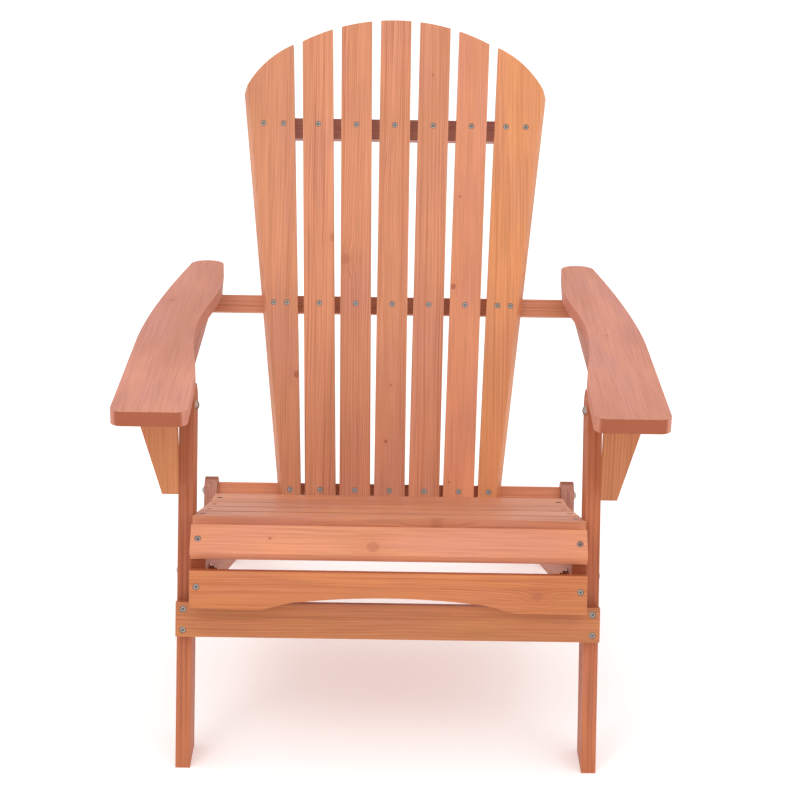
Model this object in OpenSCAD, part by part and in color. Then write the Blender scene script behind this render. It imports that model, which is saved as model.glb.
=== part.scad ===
// Folding adirondack chair in stained softwood.
// The chair faces -Y. Lengths are in millimetres and the floor is z = 0.

/* [Boards] */
// Thickness of every sawn board
board = 20; // [19:0.5:21]
// Length of the seat slats, apron and lower back batten
seat_w = 534; // [520:1:550]
// Play between boards that turn against each other
play = 0.8; // [0.5:0.1:1.2]

/* [Front legs] */
// Rearward lean of the legs from vertical, in degrees
leg_lean = 17.6; // [16:0.2:19]
// Depth of a leg, front to back
leg_depth = 60; // [56:1:64]
// Height of the stretcher board along the leg
stretcher_h = 47; // [44:0.5:50]

/* [Seat] */
// Slope of the seat, down to the rear, in degrees
seat_slope = 18.9; // [18:0.1:19.5]
// Slope of the rear seat slat, in degrees
rear_slope = 14.3; // [13:0.1:15]
// Width of a flat seat slat
slat_w = 83; // [80:1:83]
// Gap between seat slats
slat_gap = 10; // [8:0.5:12]
// Tilt of the rolled front slat, down to the front, in degrees
nose_tilt = 42; // [38:0.5:45]
// Width of the rolled front slat
nose_w = 42; // [38:1:46]

/* [Back] */
// Recline of the back from vertical, in degrees
recline = 22.6; // [21:0.2:24]
// Width of the five middle back slats
back_slat_w = 47.5; // [45:0.5:49]
// Gap between the back slats at the bottom
back_gap = 6; // [5:0.5:7]
// Angle between neighbouring back slats, in degrees
fan_step = 0.63; // [0.5:0.01:0.7]
// Height of the back above its bottom screws, along the slats
back_h = 735; // [715:1:745]
// Radius of the arc across the tops of the five middle slats
crown_r = 318; // [310:1:325]

/* [Arms] */
// Height of the armrest's top
arm_top = 520; // [518:1:524]
// Width of the chair over the armrests
arm_span = 724; // [712:1:730]
// Height of the arm rail under the armrest
arm_rail_h = 48; // [46:0.5:50]

/* [Hidden] */
$fn = 64;

// Fasteners
bolt_d = 8;
bolt_fit = 0.05;        // radial play of a bolt in its bore
screw_d = 4.2;
screw_head_d = 7.4;
countersink_d = 8.8;    // the hole is wider than the head that sinks into it
screw_fit = 0.04;
recess_l = 4.4;         // cross recess of the driver, and its depth
recess_w = 1;
recess_depth = 1.3;
tip_gap = 0.3;          // how much deeper a screw hole is than its screw
head_sink = 0.7;        // how far a countersunk head lies below the face
contact = 0.3;          // play between a washer and a board that turns under it
washer_t = 1.2;
washer_d = 20;
ear_washer_d = 18;
nut_t = 6;
nut_d = 14.4;           // across the corners
pivot_bolt_l = 52;
ear_bolt_l = 54;
leg_head_d = 15;
arm_head_d = 16;
ear_head_d = 13;
seat_screw_l = 40;
nose_screw_l = 36;
apron_screw_l = 42;
ear_screw_l = 36;
stretcher_screw_l = 44;
back_screw_l = 38;
arm_screw_l = 60;
over = 1;               // how far a cut runs past the face it opens

// Planes across the chair
rail_out = seat_w / 2;
rail_in = rail_out - board;
ear_out = rail_out + board;
leg_in = rail_out + play;
leg_out = leg_in + board;
arm_rail_in = leg_out + play;
arm_rail_out = arm_rail_in + board;

// Leg frame: s runs up the leg's front edge from the floor
seat_pivot_s = 268;
arm_pivot_s = 496;
stretcher_s = 183.5;
leg_u = [sin(leg_lean), cos(leg_lean)];
leg_n = [cos(leg_lean), -sin(leg_lean)];
seat_pivot = seat_pivot_s * leg_u + leg_depth / 2 * leg_n;
arm_pivot = arm_pivot_s * leg_u + leg_depth / 2 * leg_n;

// Rail profile: front corner under the flat slats, then the seat's two slopes
deck_front = [89, 315.3];
deck_run = 3 * (slat_w + slat_gap);
deck_bend = deck_front + deck_run * [cos(seat_slope), -sin(seat_slope)];
deck_end = deck_bend + slat_w * [cos(rear_slope), -sin(rear_slope)];
nose_top = deck_front + [-1.6, 0.6];
nose_end = nose_top - (nose_w - 4) * [cos(nose_tilt), sin(nose_tilt)];
apron_lean = 16.5;
apron_h = 51.8;
apron_u = [sin(apron_lean), cos(apron_lean)];
apron_n = [cos(apron_lean), -sin(apron_lean)];
apron_foot = [22.3, 229.4];
apron_screw_up = 0.58;  // as a share of the apron's height
under_slope = 19.7;
rail_clear_r = 44;      // the stretcher passes outside this radius as the legs fold
rail_under = 28;        // and then lies below the rail's lower edge, this far under the pivot
under_turn = 270 - under_slope - acos(rail_under / rail_clear_r);
under_start = seat_pivot + rail_clear_r * [cos(under_turn), sin(under_turn)];
rail_foot_front = under_start[0] + under_start[1] / tan(under_slope);
rail_rear = 838;
rail_tail_y = 812;
rail_tail_top = [rail_tail_y, deck_end[1] - (rail_tail_y - deck_end[0]) * tan(seat_slope)];

// Back frame: t runs up the slats' front face from the bottom screws
back_foot = [461.6, 222.9];
back_u = [sin(recline), cos(recline)];
back_n = [cos(recline), -sin(recline)];
batten_d = 22;
slat_tail = 22;
lower_batten_t = -3;
lower_batten_h = 26;
crossbar_t = 289;
crossbar_h = 26.7;
top_batten_t = 566;
top_batten_h = 32;
batten_mid = board + batten_d / 2;
back_pivot = back_foot + lower_batten_t * back_u + batten_mid * back_n;
rear_arm_pivot = back_foot + crossbar_t * back_u + batten_mid * back_n;
top_batten_half = 222;
outer_side_lean = 5.86;
outer_foot_x = 3.5 * (back_slat_w + back_gap) - 14.2;
side_bevel = 7;         // how much narrower the outer slats are in front than behind
shoulder_at = [96.8, back_h - 181.2]; // centre of the arc across an outer slat
shoulder_r = 154;
bottom_row_t = 0;
middle_row_t = 290;
top_row_t = 570;
bottom_row_x = [153.5];  // screws in an outer slat, out from the middle
middle_row_x = [163.5, 184];
top_row_x = [173.5, 204.5];

// Arms, in plan
arm_out = arm_span / 2;
arm_front_y = -4;
arm_rear_y = 700;
arm_screw_y = [240, 400, 540];
corbel_y = 84;
corbel_drop = 130;
corbel_lap = 4;         // how far it covers the front of the leg
corbel_top_w = 53.6;
corbel_foot_w = 17.7;

// The origin is under the middle of the chair's bounding box
y_mid = (arm_front_y + rail_rear) / 2;

ear_bolt_end = rail_out - 40; // the ear bolts run this far into the lower batten
ear_r = 21.5;
ear_drop = 92;

module placed() { translate([0, -y_mid, 0]) children(); }

// Extrudes a profile drawn in (y, z) from x0 to x1
module across(x0, x1) {
    translate([x0, 0, 0]) rotate([90, 0, 90]) linear_extrude(x1 - x0) children();
}

module both_sides() {
    children();
    mirror([1, 0, 0]) children();
}

// Frames whose local x is across, y runs into the board and z runs up it
module leg_frame() { rotate([-leg_lean, 0, 0]) children(); }
module apron_frame() {
    translate([0, apron_foot[0], apron_foot[1]]) rotate([-apron_lean, 0, 0]) children();
}
module back_frame() {
    translate([0, back_foot[0], back_foot[1]]) rotate([-recline, 0, 0]) children();
}

// Local x across, local y down the deck, local z up out of it
module deck_frame(start, slope) {
    translate([0, start[0], start[1]]) rotate([-slope, 0, 0]) children();
}

// Countersunk screw standing on its point, head at z = 0
module screw(length) {
    head_h = (screw_head_d - screw_d) / 2;
    difference() {
        union() {
            translate([0, 0, -head_sink - head_h])
                cylinder(h = head_h, d1 = screw_d, d2 = screw_head_d);
            translate([0, 0, -length]) cylinder(h = length - head_sink - head_h, d = screw_d);
        }
        for (turn = [0, 90])
            rotate([0, 0, turn])
                translate([-recess_l / 2, -recess_w / 2, -head_sink - recess_depth])
                    cube([recess_l, recess_w, 2 * recess_depth]);
    }
}

// The hole that takes that screw
module screw_hole(length) {
    head_h = (screw_head_d - screw_d) / 2;
    wide = screw_head_d + 2 * screw_fit;
    narrow = screw_d + 2 * screw_fit;
    translate([0, 0, -head_sink - head_h]) cylinder(h = head_h, d1 = narrow, d2 = wide);
    translate([0, 0, -head_sink]) cylinder(h = 3, d = countersink_d);
    translate([0, 0, -length - tip_gap]) cylinder(h = length, d = narrow);
}

// Domed bolt along +X: underside of the head at x = 0, shank to x = length
module bolt(length, head_d) {
    rise = head_d * 0.3;
    dome_r = (head_d * head_d / 4 + rise * rise) / (2 * rise);
    rotate([0, 90, 0]) cylinder(h = length, d = bolt_d);
    rotate([0, -90, 0]) intersection() {
        cylinder(h = rise, d = head_d);
        translate([0, 0, rise - dome_r]) sphere(r = dome_r);
    }
}

module washer(outer_d) {
    rotate([0, 90, 0]) difference() {
        cylinder(h = washer_t, d = outer_d);
        translate([0, 0, -over]) cylinder(h = washer_t + 2 * over, d = bolt_d + 2 * bolt_fit);
    }
}

module nut() {
    rotate([0, 90, 0]) difference() {
        cylinder(h = nut_t, d = nut_d, $fn = 6);
        translate([0, 0, -over]) cylinder(h = nut_t + 2 * over, d = bolt_d + 2 * bolt_fit);
    }
}

module bore(at, x0, x1) {
    translate([x0, at[0], at[1]]) rotate([0, 90, 0])
        cylinder(h = x1 - x0, d = bolt_d + 2 * bolt_fit);
}

// ---------- seat ----------

module rail_profile() {
    front_low = apron_foot + board * apron_n + 9 * apron_u;
    front_high = apron_foot + board * apron_n + (apron_h + 15) * apron_u;
    polygon([
        under_start,
        front_low,
        front_high,
        nose_end,
        nose_top,
        deck_front,
        deck_bend,
        deck_end,
        rail_tail_top,
        [rail_rear, 44],
        [rail_rear, 0],
        [rail_foot_front, 0]
    ]);
}

slat_screw_x = rail_out - board / 2;
ear_screw_at = [[-26, -45], [-12, -72]];

module seat_rail(side) {
    color("#cf8a58") placed() mirror([side, 0, 0]) difference() {
        across(rail_in, rail_out) rail_profile();
        bore(seat_pivot, rail_in - over, rail_out + over);
        flat_slat_screws(true);
        nose_screws(true);
        apron_screw_set(true);
        ear_screw_set(true);
    }
}

// Where each flat slat starts, and how it slopes
function slat_start(i) = deck_front + i * (slat_w + slat_gap) * [cos(seat_slope), -sin(seat_slope)];
function slat_tilt(i) = i < 3 ? seat_slope : rear_slope;

module seat_slat(i) {
    color("#d69467") placed() difference() {
        deck_frame(slat_start(i), slat_tilt(i))
            translate([-rail_out, 0, 0]) cube([seat_w, slat_w, board]);
        flat_slat_screws(true);
        mirror([1, 0, 0]) flat_slat_screws(true);
    }
}

module flat_slat_screws(hole) {
    for (i = [0:3])
        deck_frame(slat_start(i), slat_tilt(i))
            translate([slat_screw_x, slat_w / 2, board])
                if (hole) screw_hole(seat_screw_l); else screw(seat_screw_l);
}

module nose_frame() {
    translate([0, nose_top[0], nose_top[1]]) rotate([nose_tilt, 0, 0]) children();
}

module seat_slat_front() {
    color("#cf8957") placed() difference() {
        nose_frame() translate([-rail_out, -nose_w, 0]) cube([seat_w, nose_w, board]);
        nose_screws(true);
        mirror([1, 0, 0]) nose_screws(true);
    }
}

module nose_screws(hole) {
    nose_frame() translate([slat_screw_x, -nose_w / 2, board])
        if (hole) screw_hole(nose_screw_l); else screw(nose_screw_l);
}

// The apron's lower edge ramps up at both ends to a shallow arc
arch_half = 172;
arch_rise = 18;
ramp_w = 55;
arch_sag = 6.5;
function ease(k) = (k * k * (3 - 2 * k) + sin(90 * k)) / 2;
function arch_z(x) = abs(x) < arch_half - ramp_w
    ? arch_rise - arch_sag * pow(x / (arch_half - ramp_w), 2)
    : (arch_rise - arch_sag) * ease((arch_half - abs(x)) / ramp_w);

module front_apron() {
    color("#cd8753") placed() difference() {
        apron_frame() standing_board(board) polygon(concat(
            [[-rail_out, 0], [-rail_out, apron_h], [rail_out, apron_h], [rail_out, 0]],
            [for (x = [arch_half:-8:-arch_half]) [x, arch_z(x)]]
        ));
        apron_screw_set(true);
        mirror([1, 0, 0]) apron_screw_set(true);
    }
}

module apron_screw_set(hole) {
    apron_frame() translate([slat_screw_x + 1, 0, apron_screw_up * apron_h]) rotate([90, 0, 0])
        if (hole) screw_hole(apron_screw_l); else screw(apron_screw_l);
}

module ear_profile() {
    translate(back_pivot) rotate(-seat_slope) {
        circle(r = ear_r);
        translate([-ear_r, -ear_drop]) square([2 * ear_r, ear_drop]);
    }
}

module back_ear(side) {
    color("#cf8c5c") placed() mirror([side, 0, 0]) difference() {
        across(rail_out, ear_out) ear_profile();
        bore(back_pivot, rail_out - over, ear_out + over);
        ear_screw_set(true);
    }
}

module ear_screw_set(hole) {
    for (at = ear_screw_at)
        translate([ear_out, back_pivot[0] + at[0], back_pivot[1] + at[1]])
            rotate([0, 90, 0])
                if (hole) screw_hole(ear_screw_l); else screw(ear_screw_l);
}

// ---------- front legs ----------

module leg_profile() {
    foot_rear = leg_depth / cos(leg_lean);
    polygon([
        [0, 0],
        arm_pivot_s * leg_u,
        arm_pivot_s * leg_u + leg_depth * leg_n,
        [foot_rear, 0]
    ]);
    translate(arm_pivot) circle(d = leg_depth);
}

module front_leg(side) {
    color("#c77f4e") placed() mirror([side, 0, 0]) difference() {
        across(leg_in, leg_out) leg_profile();
        bore(seat_pivot, leg_in - over, leg_out + over);
        bore(arm_pivot, leg_in - over, leg_out + over);
        stretcher_screw_set(true);
    }
}

module front_stretcher() {
    color("#c27a4b") placed() difference() {
        leg_frame() translate([-leg_out, -board, stretcher_s])
            cube([2 * leg_out, board, stretcher_h]);
        stretcher_screw_set(true);
        mirror([1, 0, 0]) stretcher_screw_set(true);
    }
}

module stretcher_screw_set(hole) {
    for (up = [0.2, 0.8])
        leg_frame() translate([leg_out - board / 2, -board, stretcher_s + up * stretcher_h])
            rotate([90, 0, 0])
                if (hole) screw_hole(stretcher_screw_l); else screw(stretcher_screw_l);
}

module leg_pivot_bolts() {
    color("silver") placed() both_sides()
        translate([leg_out, seat_pivot[0], seat_pivot[1]]) mirror([1, 0, 0]) bolt(pivot_bolt_l, leg_head_d);
}

module leg_pivot_washers() {
    color("silver") placed() both_sides()
        translate([rail_in - contact - washer_t, seat_pivot[0], seat_pivot[1]]) washer(washer_d);
}

module leg_pivot_nuts() {
    color("silver") placed() both_sides()
        translate([rail_in - contact - washer_t - nut_t, seat_pivot[0], seat_pivot[1]]) nut();
}

module arm_pivot_bolts() {
    color("silver") placed() both_sides()
        translate([leg_in, arm_pivot[0], arm_pivot[1]]) bolt(pivot_bolt_l, arm_head_d);
}

module arm_pivot_washers() {
    color("silver") placed() both_sides()
        translate([arm_rail_out + contact, arm_pivot[0], arm_pivot[1]]) washer(washer_d);
}

module arm_pivot_nuts() {
    color("silver") placed() both_sides()
        translate([arm_rail_out + contact + washer_t, arm_pivot[0], arm_pivot[1]]) nut();
}

// ---------- back ----------

// The five middle slats are straight, the two outer ones widen upwards
module slat_outline(i) {
    steps = i - 4;
    pitch = back_slat_w + back_gap;
    if (abs(steps) < 3)
        translate([steps * pitch, 0]) rotate(-steps * fan_step)
            translate([-back_slat_w / 2, -slat_tail]) square([back_slat_w, back_h + 2 * slat_tail]);
    else
        mirror([steps < 0 ? 1 : 0, 0]) outer_slat_outline(pitch);
}

module outer_slat_outline(pitch) {
    inner_x = 2.5 * pitch + back_gap / 2 + 0.5;
    inner_lean = 3 * fan_step;
    reach = back_h + slat_tail;
    polygon([
        [inner_x - slat_tail * tan(inner_lean), -slat_tail],
        [inner_x + reach * tan(inner_lean), reach],
        [outer_foot_x + reach * tan(outer_side_lean), reach],
        [outer_foot_x - slat_tail * tan(outer_side_lean), -slat_tail]
    ]);
}

// Everything under an arc of radius r about the point at
module under_arc(at, r) {
    translate(at) circle(r = r, $fn = 180);
    translate([at[0] - r, -2 * slat_tail]) square([2 * r, at[1] + 2 * slat_tail]);
}

// The tops follow one wide arc, and the outer slats drop away on tighter ones
module crown(i) {
    if (i == 1 || i == 7)
        mirror([i == 1 ? 1 : 0, 0]) under_arc(shoulder_at, shoulder_r);
    else
        under_arc([0, back_h - crown_r], crown_r);
}

// Turns an outline in (across, up) into a board whose front face is y = 0
module standing_board(depth) {
    translate([0, depth, 0]) rotate([90, 0, 0]) linear_extrude(depth) children();
}

module back_slat(i) {
    color(i % 2 == 0 ? "#de9069" : "#d98f73") placed() back_frame() difference() {
        standing_board(board) intersection() {
            slat_outline(i);
            crown(i);
        }
        back_screw_rows(true);
        if (i == 1) mirror([1, 0, 0]) outer_side_cut();
        if (i == 7) outer_side_cut();
    }
}

// Wedge off the outer slat's outer side
module outer_side_cut() {
    translate([outer_foot_x, 0, 0]) rotate([0, outer_side_lean, 0])
        translate([0, 0, -2 * slat_tail]) linear_extrude(back_h)
            polygon([
                [-1.1 * side_bevel, -0.1 * board],
                [side_bevel, -0.1 * board],
                [side_bevel, 1.1 * board],
                [0.1 * side_bevel, 1.1 * board]
            ]);
}

// Middle of slat i at height t
function slat_x(i, t) = (i - 4) * (back_slat_w + back_gap) + t * tan((i - 4) * fan_step);

module back_screw_at(x, t, hole) {
    translate([x, 0, t]) rotate([90, 0, 0])
        if (hole) screw_hole(back_screw_l); else screw(back_screw_l);
}

// One screw in each middle slat, and one or two in each outer slat
module back_row(t, outer_x, hole) {
    for (i = [2:6]) back_screw_at(slat_x(i, t), t, hole);
    for (way = [-1, 1], x = outer_x) back_screw_at(way * x, t, hole);
}

module bottom_row(hole) { back_row(bottom_row_t, bottom_row_x, hole); }
module middle_row(hole) { back_row(middle_row_t, middle_row_x, hole); }
module top_row(hole) { back_row(top_row_t, top_row_x, hole); }

module back_screw_rows(hole) {
    bottom_row(hole);
    middle_row(hole);
    top_row(hole);
}

module batten(half_l, t, h) {
    placed() difference() {
        back_frame() translate([-half_l, board, t - h / 2]) cube([2 * half_l, batten_d, h]);
        back_frame() back_screw_rows(true);
        children();
    }
}

module back_top_batten() { color("#cf8a62") batten(top_batten_half, top_batten_t, top_batten_h); }

module arm_crossbar() {
    color("#d0895c") batten(leg_out, crossbar_t, crossbar_h);
}

module lower_batten() {
    color("#cf8a5c") batten(rail_out - contact, lower_batten_t, lower_batten_h)
        both_sides() bore(back_pivot, ear_bolt_end, rail_out + over);
}

module back_pivot_bolts() {
    color("silver") placed() both_sides()
        translate([ear_out + contact + washer_t, back_pivot[0], back_pivot[1]])
            mirror([1, 0, 0]) bolt(ear_bolt_l, ear_head_d);
}

module back_pivot_washers() {
    color("silver") placed() both_sides()
        translate([ear_out + contact, back_pivot[0], back_pivot[1]]) washer(ear_washer_d);
}

// ---------- arms ----------

// Plan of the right armrest: straight front, long outer taper, waisted inner edge
arm_in = leg_in - 4;
taper = 40;
taper_y = 300;
waist = 20;
waist_y = [110, 580];

// Points along the two long edges, k from 0 at the front to 1 at the rear
function outer_edge(k) = [
    arm_out - taper * pow(k, 1.6),
    taper_y + k * (arm_rear_y - 24 - taper_y)
];
function inner_edge(k) = [
    arm_in + waist * (0.5 - 0.5 * cos(360 * k)),
    waist_y[0] + k * (waist_y[1] - waist_y[0])
];

module armrest_profile() {
    front_in = arm_in - 2;
    corner = 16;
    heel_in = arm_in + 5.5;
    heel_out = arm_out - taper;
    heel_r = 24;
    polygon(concat(
        [[front_in, arm_front_y + corner], [front_in + corner, arm_front_y]],
        [[arm_out - corner, arm_front_y], [arm_out, arm_front_y + corner]],
        [for (k = [0:12]) outer_edge(k / 12)],
        [[heel_in, arm_rear_y - heel_r]],
        [for (k = [16:-1:0]) inner_edge(k / 16)]
    ));
    for (x = [front_in + corner, arm_out - corner])
        translate([x, arm_front_y + corner]) circle(r = corner);
    for (x = [heel_in + heel_r, heel_out - heel_r])
        translate([x, arm_rear_y - heel_r]) circle(r = heel_r);
    translate([heel_in + heel_r, arm_rear_y - 2 * heel_r])
        square([heel_out - heel_in - 2 * heel_r, 2 * heel_r]);
}

module armrest(side) {
    color("#d8967f") placed() mirror([side, 0, 0]) difference() {
        translate([0, 0, arm_top - board]) linear_extrude(board) armrest_profile();
        arm_screw_set(true);
    }
}

arm_rail_front = corbel_y + board;
arm_rail_rear = rear_arm_pivot[0] + arm_rail_h / 2;

module arm_rail_profile() {
    underside = arm_top - board;
    translate([arm_rail_front, underside - arm_rail_h])
        square([rear_arm_pivot[0] - arm_rail_front, arm_rail_h]);
    translate([rear_arm_pivot[0], underside - arm_rail_h / 2]) circle(d = arm_rail_h);
}

module arm_rail(side) {
    color("#c98552") placed() mirror([side, 0, 0]) difference() {
        across(arm_rail_in, arm_rail_out) arm_rail_profile();
        bore(arm_pivot, arm_rail_in - over, arm_rail_out + over);
        bore(rear_arm_pivot, arm_rail_in - over, arm_rail_out + over);
        arm_screw_set(true);
    }
}

// Driven up through the arm rail into the armrest
module arm_screw_set(hole) {
    for (y = arm_screw_y)
        translate([(arm_rail_in + arm_rail_out) / 2, y, arm_top - board - arm_rail_h])
            rotate([180, 0, 0])
                if (hole) screw_hole(arm_screw_l); else screw(arm_screw_l);
}

module arm_corbel(side) {
    color("#c98350") placed() mirror([side, 0, 0])
        translate([0, corbel_y, 0]) standing_board(board) polygon([
            [arm_rail_in - corbel_lap, arm_top - board - corbel_drop],
            [arm_rail_in - corbel_lap, arm_top - board],
            [arm_rail_in + corbel_top_w, arm_top - board],
            [arm_rail_in + corbel_foot_w, arm_top - board - corbel_drop]
        ]);
}

module arm_screws(side) {
    color("silver") placed() mirror([side, 0, 0]) arm_screw_set(false);
}

// The rear arm bolt ends short of the crossbar, where the linkage is left open
module rear_arm_bolt(side) {
    color("silver") placed() mirror([side, 0, 0])
        translate([arm_rail_out + washer_t, rear_arm_pivot[0], rear_arm_pivot[1]])
            mirror([1, 0, 0]) bolt(board + washer_t, leg_head_d);
}

module rear_arm_washer(side) {
    color("silver") placed() mirror([side, 0, 0])
        translate([arm_rail_out, rear_arm_pivot[0], rear_arm_pivot[1]]) washer(washer_d);
}

module seat_screws() {
    color("silver") placed() both_sides() {
        flat_slat_screws(false);
        nose_screws(false);
    }
}

module apron_screws() { color("silver") placed() both_sides() apron_screw_set(false); }
module ear_screws() { color("silver") placed() both_sides() ear_screw_set(false); }
module stretcher_screws() { color("silver") placed() both_sides() stretcher_screw_set(false); }
module back_screws(row) {
    color("silver") placed() back_frame() {
        if (row == 0) bottom_row(false);
        if (row == 1) middle_row(false);
        if (row == 2) top_row(false);
    }
}

left = 1;
right = 0;

seat_rail(left);  // seat_rail_left
seat_rail(right);  // seat_rail_right
seat_slat_front();
for (i = [0:3])
    seat_slat(i);
front_apron();
back_ear(left);  // back_ear_left
back_ear(right);  // back_ear_right
seat_screws();
apron_screws();
ear_screws();
front_leg(left);  // front_leg_left
front_leg(right);  // front_leg_right
front_stretcher();
stretcher_screws();
leg_pivot_bolts();
leg_pivot_washers();
leg_pivot_nuts();
arm_pivot_bolts();
arm_pivot_washers();
arm_pivot_nuts();
for (i = [1:7])
    back_slat(i);
back_top_batten();
arm_crossbar();
lower_batten();
back_screws(0);  // back_bottom_screws
back_screws(1);  // back_middle_screws
back_screws(2);  // back_top_screws
back_pivot_bolts();
back_pivot_washers();
armrest(left);  // armrest_left
armrest(right);  // armrest_right
arm_rail(left);  // arm_rail_left
arm_rail(right);  // arm_rail_right
arm_corbel(left);  // arm_corbel_left
arm_corbel(right);  // arm_corbel_right
arm_screws(left);  // arm_screws_left
arm_screws(right);  // arm_screws_right
rear_arm_bolt(left);  // rear_arm_bolt_left
rear_arm_bolt(right);  // rear_arm_bolt_right
rear_arm_washer(left);  // rear_arm_washer_left
rear_arm_washer(right);  // rear_arm_washer_right
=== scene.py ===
"""Looks of a folding adirondack chair: stained softwood with grain and knots, zinc fasteners."""
import math
import random

import bpy
from mathutils import Matrix, Vector
from mathutils.kdtree import KDTree


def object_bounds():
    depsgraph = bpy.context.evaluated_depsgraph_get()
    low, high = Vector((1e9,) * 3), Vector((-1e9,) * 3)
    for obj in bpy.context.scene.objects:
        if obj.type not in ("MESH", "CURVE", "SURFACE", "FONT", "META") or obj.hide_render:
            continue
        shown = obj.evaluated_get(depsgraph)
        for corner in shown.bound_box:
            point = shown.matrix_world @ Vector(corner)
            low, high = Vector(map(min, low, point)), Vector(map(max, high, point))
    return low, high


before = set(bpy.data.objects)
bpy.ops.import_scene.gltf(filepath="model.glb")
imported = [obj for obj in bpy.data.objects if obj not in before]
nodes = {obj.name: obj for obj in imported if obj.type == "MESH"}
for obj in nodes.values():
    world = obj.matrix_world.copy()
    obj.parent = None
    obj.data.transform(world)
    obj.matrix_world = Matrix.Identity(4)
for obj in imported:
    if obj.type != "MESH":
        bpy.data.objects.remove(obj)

cad_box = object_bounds()

# Stain colours of the boards, then knots, plated steel and the painted shade for screw holes, linear
# RGB
SALMON = (0.62, 0.250, 0.130)
CORAL = (0.67, 0.262, 0.134)
ORANGE = (0.61, 0.250, 0.128)
AMBER = (0.68, 0.273, 0.111)
PINK = (0.56, 0.217, 0.138)
RUST = (0.46, 0.140, 0.057)
TAN = (0.56, 0.188, 0.067)
OCHRE = (0.50, 0.182, 0.069)
ROSE = (0.455, 0.202, 0.142)
KNOT = (0.36, 0.100, 0.050)
ZINC = (0.42, 0.40, 0.41)
# Painted shade: near black, laid on countersink walls and screw recesses where shadow would fall
HOLE_SHADE_COLOUR = (0.060, 0.022, 0.012)

# What the dark grain keeps of each channel of its board's colour
DARK_GRAIN = (0.74, 0.56, 0.46)

# How strongly the grain shows, where it differs from most boards
FIGURE = {
    "seat_slat_front": 0.30, "armrest": 0.28, "back_slat_1": 0.60, "back_slat_2": 1.15,
    "back_slat_5": 1.30, "back_slat_6": 0.45, "back_slat_7": 0.65, "front_apron": 1.15,
}

# How far a knot lies along and across its board, as shares of the board, and its radius in metres
KNOTS = {
    "back_slat_1": [(0.28, 0.90, 0.0045)],
    "back_slat_2": [(0.56, 0.84, 0.0060)],
    "back_slat_3": [(0.505, 0.21, 0.0070)],
    "back_slat_4": [(0.245, 0.50, 0.0014), (0.13, 0.36, 0.0026)],
    "back_slat_5": [(0.89, 0.52, 0.0016)],
    "back_slat_6": [(0.46, 0.19, 0.0038), (0.65, 0.32, 0.0016), (0.05, 0.14, 0.0014)],
    "seat_slat_front": [(0.46, 0.30, 0.0075), (0.20, 0.55, 0.0018)],
    "seat_slat_1": [(0.62, 0.12, 0.0120)],
    "front_apron": [(0.875, 0.45, 0.0060)],
    "front_leg_left": [(0.72, 0.35, 0.0030)],
    "armrest_left": [(0.69, 0.30, 0.0050)],
    "armrest_right": [(0.49, 0.48, 0.0018)],
    "seat_rail_right": [(0.60, 0.50, 0.0080)],
    "seat_rail_left": [(0.35, 0.42, 0.0070)],
}


class Tree:
    """A material's node tree, with short calls for the nodes used here."""

    def __init__(self, name):
        self.material = bpy.data.materials.new(name)
        self.material.use_nodes = True
        self.nodes = self.material.node_tree.nodes
        self.links = self.material.node_tree.links
        self.shader = self.nodes["Principled BSDF"]

    def feed(self, socket, value):
        if isinstance(value, bpy.types.NodeSocket):
            self.links.new(value, socket)
        else:
            socket.default_value = value

    def math(self, kind, a, b=0.0):
        node = self.nodes.new("ShaderNodeMath")
        node.operation = kind
        self.feed(node.inputs[0], a)
        self.feed(node.inputs[1], b)
        return node.outputs[0]

    def vector(self, kind, a, b=(0.0, 0.0, 0.0), out=0):
        node = self.nodes.new("ShaderNodeVectorMath")
        node.operation = kind
        self.feed(node.inputs[0], a)
        self.feed(node.inputs[1], b)
        return node.outputs[out]

    def noise(self, point, scales, detail=3.0, rough=0.55):
        """Noise with its own number of waves a metre along each axis."""
        node = self.nodes.new("ShaderNodeTexNoise")
        self.feed(node.inputs["Vector"], self.vector("MULTIPLY", point, scales))
        node.inputs["Scale"].default_value = 1.0
        node.inputs["Detail"].default_value = detail
        node.inputs["Roughness"].default_value = rough
        return node.outputs["Fac"]

    def ramp(self, value, low, high, to_low=0.0, to_high=1.0):
        node = self.nodes.new("ShaderNodeMapRange")
        node.interpolation_type = "SMOOTHSTEP"
        self.feed(node.inputs["Value"], value)
        node.inputs["From Min"].default_value = low
        node.inputs["From Max"].default_value = high
        node.inputs["To Min"].default_value = to_low
        node.inputs["To Max"].default_value = to_high
        return node.outputs["Result"]

    def mix(self, share, a, b):
        node = self.nodes.new("ShaderNodeMix")
        node.data_type = "RGBA"
        self.feed(node.inputs["Factor"], share)
        self.feed(node.inputs[6], a)
        self.feed(node.inputs[7], b)
        return node.outputs[2]

    def bump(self, height, strength, distance):
        node = self.nodes.new("ShaderNodeBump")
        node.inputs["Strength"].default_value = strength
        node.inputs["Distance"].default_value = distance
        self.feed(node.inputs["Height"], height)
        return node.outputs["Normal"]


def shade(colour, *factors):
    """The colour with one factor for all channels, or a factor for each."""
    if len(factors) == 1:
        factors *= 3
    return tuple(channel * factor for channel, factor in zip(colour, factors)) + (1.0,)


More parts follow.
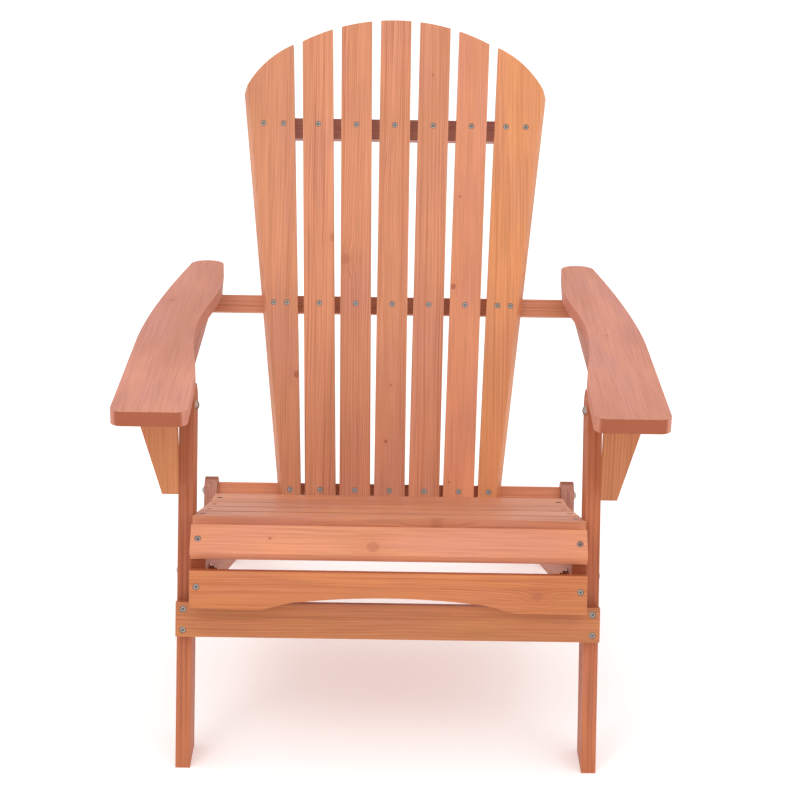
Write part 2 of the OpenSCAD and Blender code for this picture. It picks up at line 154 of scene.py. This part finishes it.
class Board:
    """A board's own axes: along its grain, across its face and through its thickness."""

    def __init__(self, name):
        points = [vertex.co.copy() for vertex in nodes[name].data.vertices]
        lean = LEANS[next(key for key in LEANS if name.startswith(key))]
        along = "Z" if name.startswith(UPRIGHT) else "Y" if name.startswith(FORE_AFT) else "X"
        turn = Matrix.Rotation(math.radians(lean), 3, "X")
        axes = {key: turn @ Vector(unit) for key, unit in
                (("X", (1, 0, 0)), ("Y", (0, 1, 0)), ("Z", (0, 0, 1)))}
        through = "X" if name.startswith(ON_EDGE) else "Z" if name.startswith(LYING) else "Y"
        across = next(key for key in "XYZ" if key not in (along, through))
        self.axes = [axes[along], axes[across], axes[through]]
        spans = [[axis.dot(point) for point in points] for axis in self.axes]
        self.low = [min(span) for span in spans]
        self.high = [max(span) for span in spans]

    def spot(self, along, across):
        """A place given as shares of the board's length and width, in metres on its own axes."""
        shares = (along, across)
        return [self.low[k] + shares[k] * (self.high[k] - self.low[k]) for k in (0, 1)]


# Rotation about X of each board from upright or level, in degrees
LEANS = {
    "back_slat": -22.6, "back_top_batten": -22.6, "arm_crossbar": -22.6, "lower_batten": -22.6,
    "front_leg": -17.6, "front_stretcher": -17.6, "front_apron": -16.5,
    "seat_slat_front": 42.0, "seat_slat_4": -14.3, "seat_slat": -18.9,
    "seat_rail": -18.0, "back_ear": -18.9, "armrest": 0.0, "arm_rail": 0.0, "arm_corbel": 0.0,
}
UPRIGHT = ("back_slat", "front_leg", "back_ear", "arm_corbel")
FORE_AFT = ("seat_rail", "armrest", "arm_rail")
ON_EDGE = ("seat_rail", "arm_rail", "front_leg", "back_ear")
LYING = ("armrest", "seat_slat")


def board_coordinates(tree, board, offset):
    """Object coordinates turned onto the board's axes: along, across, through."""
    source = tree.nodes.new("ShaderNodeTexCoord").outputs["Object"]
    parts = [tree.vector("DOT_PRODUCT", source, tuple(axis), out=1) for axis in board.axes]
    joined = tree.nodes.new("ShaderNodeCombineXYZ")
    for k in range(3):
        tree.feed(joined.inputs[k], parts[k])
    return parts, tree.vector("ADD", joined.outputs[0], offset)


def knot_fields(tree, board, knots, parts):
    """Distance rings round each knot: (share inside the knot, share in its halo)."""
    squeeze = 0.8  # knots are longer along the grain than across it
    small = 0.005  # smaller knots are dark, larger ones only tint the wood
    inside = halo = None
    for along, across, radius in knots:
        centre = board.spot(along, across)
        off_along = tree.math("MULTIPLY", tree.math("SUBTRACT", parts[0], centre[0]), squeeze)
        off_across = tree.math("SUBTRACT", parts[1], centre[1])
        squares = tree.math("ADD", tree.math("MULTIPLY", off_along, off_along),
                            tree.math("MULTIPLY", off_across, off_across))
        distance = tree.math("SQRT", squares)
        depth = 0.80 if radius < small else 0.38
        knot = tree.ramp(distance, radius * 1.15, radius * 0.75, 0.0, depth)
        ring = tree.ramp(distance, radius * 4.5, radius)
        inside = knot if inside is None else tree.math("MAXIMUM", inside, knot)
        halo = ring if halo is None else tree.math("MAXIMUM", halo, ring)
    return inside, halo


def ring_count(tree, point, halo, rng):
    """Growth rings: unevenly spaced, bent a little along the board and round knots."""
    drift = tree.noise(point, (1.5, 8.0, 8.0), 2.0)
    uneven = tree.noise(point, (0.8, 70.0, 70.0), 2.0, 0.6)
    parts = tree.nodes.new("ShaderNodeSeparateXYZ")
    tree.feed(parts.inputs[0], point)
    terms = [
        tree.math("MULTIPLY", parts.outputs[1], rng.uniform(150, 280)),
        tree.math("MULTIPLY", parts.outputs[2], rng.uniform(60, 120)),
        tree.math("MULTIPLY", drift, rng.uniform(4.0, 13.0)),
        tree.math("MULTIPLY", uneven, 3.5),
    ]
    if halo is not None:
        terms.append(tree.math("MULTIPLY", halo, 0.9))
    total = terms[0]
    for term in terms[1:]:
        total = tree.math("ADD", total, term)
    return total


class Grain:
    """The noise fields that the wood's colour, roughness and relief share."""

    def __init__(self, tree, point, halo, rng):
        self.cloud = tree.noise(point, (3.0, 12.0, 12.0), 3.0, 0.6)
        self.blotch = tree.noise(point, (7.0, 22.0, 22.0), 2.0, 0.5)
        self.streak = tree.noise(point, (1.6, 210.0, 210.0), 4.0, 0.65)
        self.fibre = tree.noise(point, (9.0, 560.0, 560.0), 3.0, 0.6)
        self.pore = tree.noise(point, (90.0, 1500.0, 1500.0), 1.0, 0.5)
        self.lay = ring_count(tree, point, halo, rng)
        self.late = self.late_wood(tree, point)

    def late_wood(self, tree, point):
        """The dark band that ends each ring, stronger in some rings than in others."""
        saw = tree.math("FRACT", self.lay)
        band = tree.math("MULTIPLY", tree.ramp(saw, 0.25, 0.90), tree.ramp(saw, 1.0, 0.93))
        strength = tree.noise(point, (1.2, 55.0, 55.0), 1.0)
        return tree.math("MULTIPLY", band, tree.ramp(strength, 0.35, 0.62, 0.12, 1.0))


def face_colour(tree, colour, grain, figure):
    """Stain over sawn grain, a little pinker in blotches."""
    dark_grain = shade(colour, *DARK_GRAIN)
    base = tree.mix(tree.ramp(grain.cloud, 0.30, 0.72), shade(colour, 1.20), shade(colour, 0.97))
    pinker = shade(colour, 1.04, 1.05, 1.34)
    base = tree.mix(tree.ramp(grain.blotch, 0.42, 0.70, 0.0, 0.7), base, pinker)
    fade = tree.ramp(grain.blotch, 0.30, 0.65, 0.36 * figure, 0.66 * figure)
    base = tree.mix(tree.math("MULTIPLY", grain.late, fade), base, dark_grain)
    base = tree.mix(tree.ramp(grain.streak, 0.48, 0.70, 0.0, 0.50 * figure), base, dark_grain)
    base = tree.mix(tree.ramp(grain.fibre, 0.42, 0.74, 0.0, 0.46), base, shade(colour, 0.62))
    return tree.mix(tree.ramp(grain.pore, 0.66, 0.80, 0.0, 0.30), base, shade(colour, 0.45))


def add_knots(tree, base, colour, inside, halo):
    """Knots, with the grain a little darker round them."""
    dark_grain = shade(colour, *DARK_GRAIN)
    base = tree.mix(tree.math("MULTIPLY", halo, 0.15), base, dark_grain)
    return tree.mix(inside, base, shade(KNOT, 1.0))


def end_share(tree, board):
    """One on the sawn ends of the board, nought on its long faces."""
    turned = tree.nodes.new("ShaderNodeVectorTransform")
    turned.vector_type = "NORMAL"
    turned.convert_from = "WORLD"
    turned.convert_to = "OBJECT"
    tree.feed(turned.inputs[0], tree.nodes.new("ShaderNodeNewGeometry").outputs["Normal"])
    facing = tree.vector("DOT_PRODUCT", turned.outputs[0], tuple(board.axes[0]), out=1)
    return tree.ramp(tree.math("ABSOLUTE", facing), 0.70, 0.92)


def add_end_grain(tree, base, colour, grain, end):
    """End grain drinks more stain."""
    rings = tree.ramp(tree.math("FRACT", tree.math("MULTIPLY", grain.lay, 2.0)), 0.3, 0.9)
    soaked = tree.mix(rings, shade(colour, 0.64, 0.41, 0.24), shade(colour, 0.51, 0.30, 0.17))
    return tree.mix(tree.math("MULTIPLY", end, 0.9), base, soaked)


def add_worn_arrises(tree, base, colour, point):
    """Paler wood shows through in places along the sharp edges."""
    edge = tree.nodes.new("ShaderNodeBevel")
    edge.samples = 4
    edge.inputs["Radius"].default_value = 0.0018
    flat = tree.nodes.new("ShaderNodeNewGeometry").outputs["True Normal"]
    rounding = tree.math("SUBTRACT", 1.0, tree.vector("DOT_PRODUCT", edge.outputs[0], flat, out=1))
    scuff = tree.noise(point, (30.0, 120.0, 120.0), 2.0)
    worn = tree.math("MULTIPLY", tree.ramp(rounding, 0.02, 0.16), tree.ramp(scuff, 0.40, 0.65))
    return tree.mix(tree.math("MULTIPLY", worn, 0.35), base, shade(colour, 1.20, 1.45, 1.7))


def wood(name, colour, seed):
    """Stained, planed softwood with its grain along the board."""
    rng = random.Random(seed)
    board = Board(name)
    tree = Tree("wood_" + name)
    offset = tuple(rng.uniform(-9.0, 9.0) for _ in range(3))
    parts, point = board_coordinates(tree, board, offset)
    inside, halo = knot_fields(tree, board, KNOTS.get(name, ()), parts)
    grain = Grain(tree, point, halo, rng)
    figure = next((share for key, share in FIGURE.items() if name.startswith(key)), 1.0)
    end = end_share(tree, board)

    base = face_colour(tree, colour, grain, figure)
    if inside is not None:
        base = add_knots(tree, base, colour, inside, halo)
    base = add_end_grain(tree, base, colour, grain, end)
    base = add_worn_arrises(tree, base, colour, point)
    tree.feed(tree.shader.inputs["Base Color"], base)

    rough = tree.math("ADD", tree.ramp(grain.cloud, 0.3, 0.7, 0.44, 0.54),
                      tree.math("MULTIPLY", grain.fibre, 0.10))
    rough = tree.math("ADD", rough, tree.math("MULTIPLY", end, 0.14))
    tree.feed(tree.shader.inputs["Roughness"], rough)
    tree.shader.inputs["Specular IOR Level"].default_value = 0.35

    relief = tree.math("ADD", tree.math("MULTIPLY", grain.late, 0.6),
                       tree.math("MULTIPLY", grain.fibre, 0.5))
    pits = tree.math("MULTIPLY", tree.ramp(grain.pore, 0.66, 0.80), 0.5)
    relief = tree.math("SUBTRACT", relief, pits)
    tree.feed(tree.shader.inputs["Normal"], tree.bump(relief, 0.35, 0.0004))
    return tree.material


def zinc(name, colour):
    """Bright zinc plate, yellowed in places, with fine scratches."""
    tree = Tree(name)
    point = tree.nodes.new("ShaderNodeTexCoord").outputs["Object"]
    tint = tree.noise(point, (160.0, 160.0, 160.0), 2.0)
    grime = tree.noise(point, (700.0, 700.0, 700.0))
    bright = shade(colour, 1.0)
    yellow = shade(colour, 0.98, 0.86, 0.66)
    base = tree.mix(tree.ramp(tint, 0.40, 0.62), bright, yellow)
    base = tree.mix(tree.ramp(grime, 0.55, 0.80, 0.0, 0.6), base, shade(colour, 0.30))
    tree.feed(tree.shader.inputs["Base Color"], base)
    tree.shader.inputs["Metallic"].default_value = 1.0
    tree.feed(tree.shader.inputs["Roughness"], tree.ramp(grime, 0.3, 0.8, 0.26, 0.48))
    scratches = tree.noise(point, (300.0, 2600.0, 2600.0), 1.0)
    tree.feed(tree.shader.inputs["Normal"], tree.bump(scratches, 0.25, 0.0002))
    return tree.material


def board_colour(name):
    """The stain each board took up."""
    singles = {
        "back_slat_1": ORANGE, "back_slat_2": SALMON, "back_slat_3": SALMON, "back_slat_4": SALMON,
        "back_slat_5": SALMON, "back_slat_6": CORAL, "back_slat_7": AMBER,
        "front_apron": TAN, "front_stretcher": OCHRE, "seat_slat_front": CORAL,
        "back_top_batten": ROSE, "arm_crossbar": SALMON, "lower_batten": CORAL,
    }
    families = (("armrest", PINK), ("arm_corbel", OCHRE), ("seat_slat", SALMON),
                ("front_leg", RUST), ("back_ear", ROSE), ("seat_rail", RUST), ("arm_rail", RUST))
    if name in singles:
        return singles[name]
    return next(colour for key, colour in families if name.startswith(key))


def assign(node, material):
    node.data.materials.clear()
    node.data.materials.append(material)


def is_fastener(name):
    return any(word in name for word in ("screw", "bolt", "washer", "nuts"))


def soften(node, width):
    """Rounds a sawn board's arrises a little, inside its own size."""
    bevel = node.modifiers.new("arris", "BEVEL")
    bevel.width = width
    bevel.segments = 3
    bevel.limit_method = "ANGLE"
    bevel.angle_limit = math.radians(40)
    bevel.harden_normals = True
    bevel.use_clamp_overlap = True


def plain(name, colour, roughness):
    """One flat colour."""
    tree = Tree(name)
    tree.shader.inputs["Base Color"].default_value = shade(colour, 1.0)
    tree.shader.inputs["Roughness"].default_value = roughness
    return tree.material


def corner_search(names):
    """Search tree of every vertex of the named nodes."""
    points = [nodes[name].matrix_world @ vertex.co for name in names
              for vertex in nodes[name].data.vertices]
    search = KDTree(len(points))
    for index, point in enumerate(points):
        search.insert(point, index)
    search.balance()
    return search


def mark_small_faces(node, search, chosen, material):
    """Gives a material to small faces whose every corner lies at a chosen distance from the others;
    here it lays painted shade in screw holes.
    """
    longest = 0.005
    mesh = node.data
    mesh.materials.append(material)
    world = node.matrix_world
    marked = [chosen(search.find(world @ vertex.co)[2]) for vertex in mesh.vertices]
    for face in mesh.polygons:
        if not all(marked[index] for index in face.vertices):
            continue
        corners = [mesh.vertices[index].co for index in face.vertices]
        if max((one - other).length for one in corners for other in corners) < longest:
            face.material_index = 1


# A screw's recess is farther than this from any board's corner, and a countersink nearer to a screw's;
# faces found so get painted shade
RECESS_GAP = 0.0008
COUNTERSINK_GAP = 0.0014
ARRIS = 0.0016


def dress_nodes():
    plate = zinc("zinc_plate", ZINC)
    # Painted shade for the countersinks round screws and for the screws' recesses
    painted_shade = plain("painted_screw_hole_shade", HOLE_SHADE_COLOUR, 0.8)
    screws = corner_search([name for name in nodes if "screws" in name])
    boards = corner_search([name for name in nodes if not is_fastener(name)])
    for index, name in enumerate(sorted(nodes)):
        node = nodes[name]
        for face in node.data.polygons:
            face.use_smooth = True
        if is_fastener(name):
            assign(node, plate)
            if "screws" in name:
                # Painted shade in each screw's recess
                mark_small_faces(node, boards, lambda gap: gap > RECESS_GAP, painted_shade)
            continue
        assign(node, wood(name, board_colour(name), 100 + index))
        # Painted shade on the countersink round each screw
        mark_small_faces(node, screws, lambda gap: gap < COUNTERSINK_GAP, painted_shade)
        soften(node, ARRIS)


def add_camera():
    """The view from 1.4 m up and nearly three metres in front, looking down on the seat."""
    data = bpy.data.cameras.new("camera")
    data.sensor_width = 36.0
    data.lens = 91.02
    camera = bpy.data.objects.new("camera", data)
    bpy.context.scene.collection.objects.link(camera)
    low, high = cad_box
    middle_y = (low[1] + high[1]) / 2
    camera.location = (-0.0051, middle_y - 2.848, 1.4237)
    pitch, yaw, roll = (math.radians(angle) for angle in (19.97, 0.38, 1.0))
    aim = Matrix.Rotation(-yaw, 3, "Z") @ Matrix.Rotation(math.radians(90) - pitch, 3, "X")
    camera.rotation_euler = (aim @ Matrix.Rotation(roll, 3, "Z")).to_euler()
    bpy.context.scene.camera = camera


def add_light(name, location, size, power, target):
    data = bpy.data.lights.new(name, "AREA")
    data.shape = "DISK"
    data.size = size
    data.energy = power
    light = bpy.data.objects.new(name, data)
    light.location = location
    direction = Vector(target) - Vector(location)
    light.rotation_euler = direction.to_track_quat("-Z", "Y").to_euler()
    bpy.context.scene.collection.objects.link(light)


def add_studio():
    """A pale floor and soft light from all round."""
    bpy.ops.mesh.primitive_plane_add(size=60.0, location=(0.0, 0.0, 0.0))
    floor = bpy.context.object
    floor.name = "studio_floor"
    tree = Tree("studio_floor")
    tree.shader.inputs["Base Color"].default_value = (0.93, 0.93, 0.93, 1.0)
    tree.shader.inputs["Emission Color"].default_value = (1.0, 1.0, 1.0, 1.0)
    tree.shader.inputs["Emission Strength"].default_value = 0.26
    tree.shader.inputs["Roughness"].default_value = 0.9
    floor.data.materials.append(tree.material)

    world = bpy.data.worlds.new("studio")
    bpy.context.scene.world = world
    world.use_nodes = True
    world.node_tree.nodes["Background"].inputs["Color"].default_value = (1.0, 1.0, 1.0, 1.0)
    world.node_tree.nodes["Background"].inputs["Strength"].default_value = 1.0

    seat = (0.0, 0.0, 0.4)
    add_light("key", (-1.8, -2.4, 2.6), 1.6, 14.0, seat)
    add_light("fill", (2.4, -1.8, 1.8), 2.0, 6.0, seat)
    add_light("top", (0.0, 0.4, 3.2), 2.4, 8.0, seat)


add_camera()
add_studio()
dress_nodes()
bpy.context.scene.view_settings.view_transform = "Standard"
